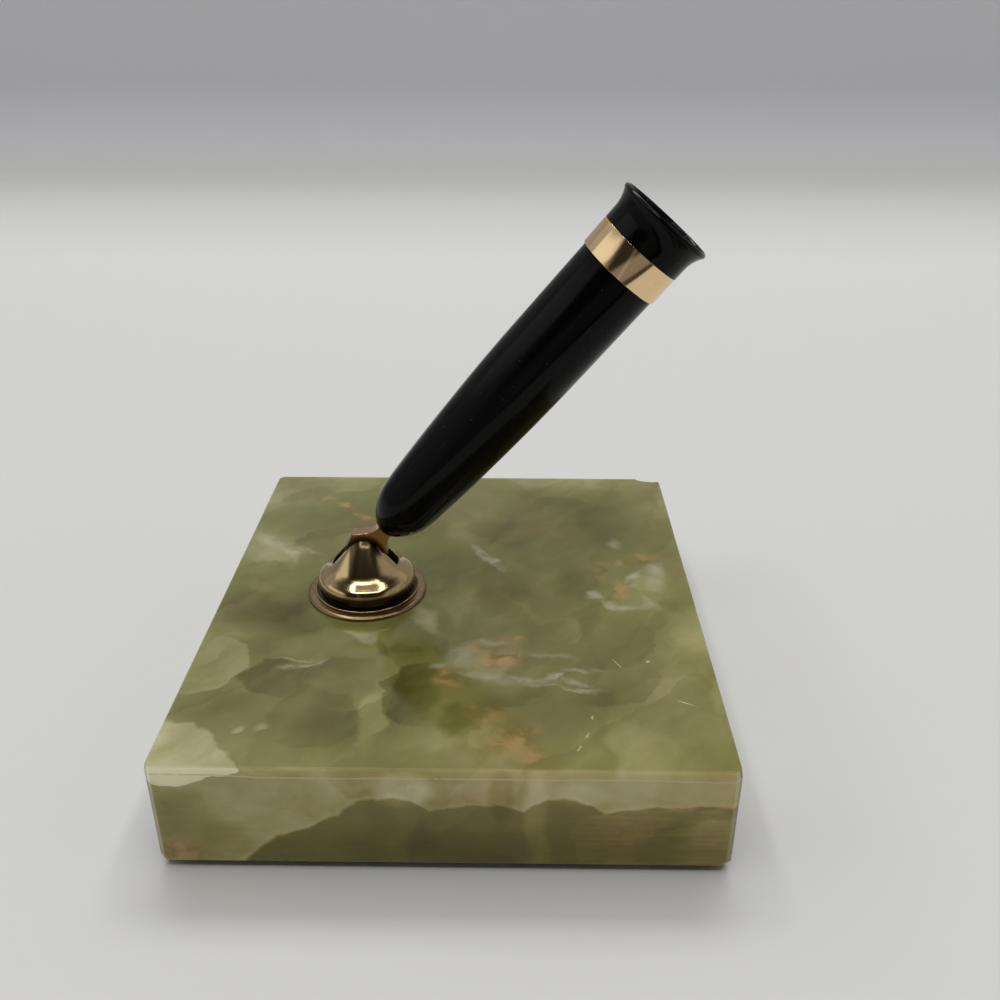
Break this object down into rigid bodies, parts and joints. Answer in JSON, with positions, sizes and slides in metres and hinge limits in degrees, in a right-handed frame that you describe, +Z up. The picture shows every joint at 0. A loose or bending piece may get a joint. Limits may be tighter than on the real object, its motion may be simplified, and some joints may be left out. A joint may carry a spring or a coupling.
{
  "type": "pen stand",
  "caption": "Desk pen stand: a polished green stone slab with a brass swivel bell that carries a tilting black pen socket with a gold band and a flared mouth.",
  "frame": {"origin": "under the middle of the felt pad, on the surface that the stand rests on", "axes": "+Z up; the socket leans towards +X at rest; +Y away from the viewer of the picture, along the slab's longer side"},
  "size_m": [0.1016, 0.1142, 0.1092],
  "materials": {
    "onyx": "polished",
    "felt": "felt",
    "brass": "polished, aged",
    "gold": "polished gold plate",
    "steel": "plain",
    "fibre": "vulcanised fibre",
    "black_gloss": "polished"
  },
  "bodies": {
    "base": {"stone_slab": "onyx", "felt_pad": "felt", "flange_plate": "brass", "mount_stud": "brass", "fibre_washer": "fibre", "clamp_washer": "steel", "clamp_nut": "brass", "friction_washer": "fibre"},
    "swivel": {"swivel_spindle": "steel", "spring_washer": "steel", "thrust_washer": "steel", "adjusting_nut": "brass", "jam_nut": "brass", "bell_cover": "brass", "yoke": "brass", "hinge_pin": "steel"},
    "socket": {"tongue": "brass", "tang_washer": "steel", "tang_nut": "brass", "socket_body": "black_gloss", "inner_sleeve": "black_gloss", "gold_band": "gold", "mouth_ring": "black_gloss"}
  },
  "joints": [
    {"name": "swivel_turn", "type": "hinge", "parent": "base", "child": "swivel", "pos_m": [-0.0198, 0, 0.0232], "axis": [0, 0, 1], "continuous": true},
    {"name": "socket_tilt", "type": "hinge", "parent": "swivel", "child": "socket", "pos_m": [-0.0198, 0, 0.0329], "axis": [0, 1, 0], "range_deg": [-110, 30]}
  ]
}
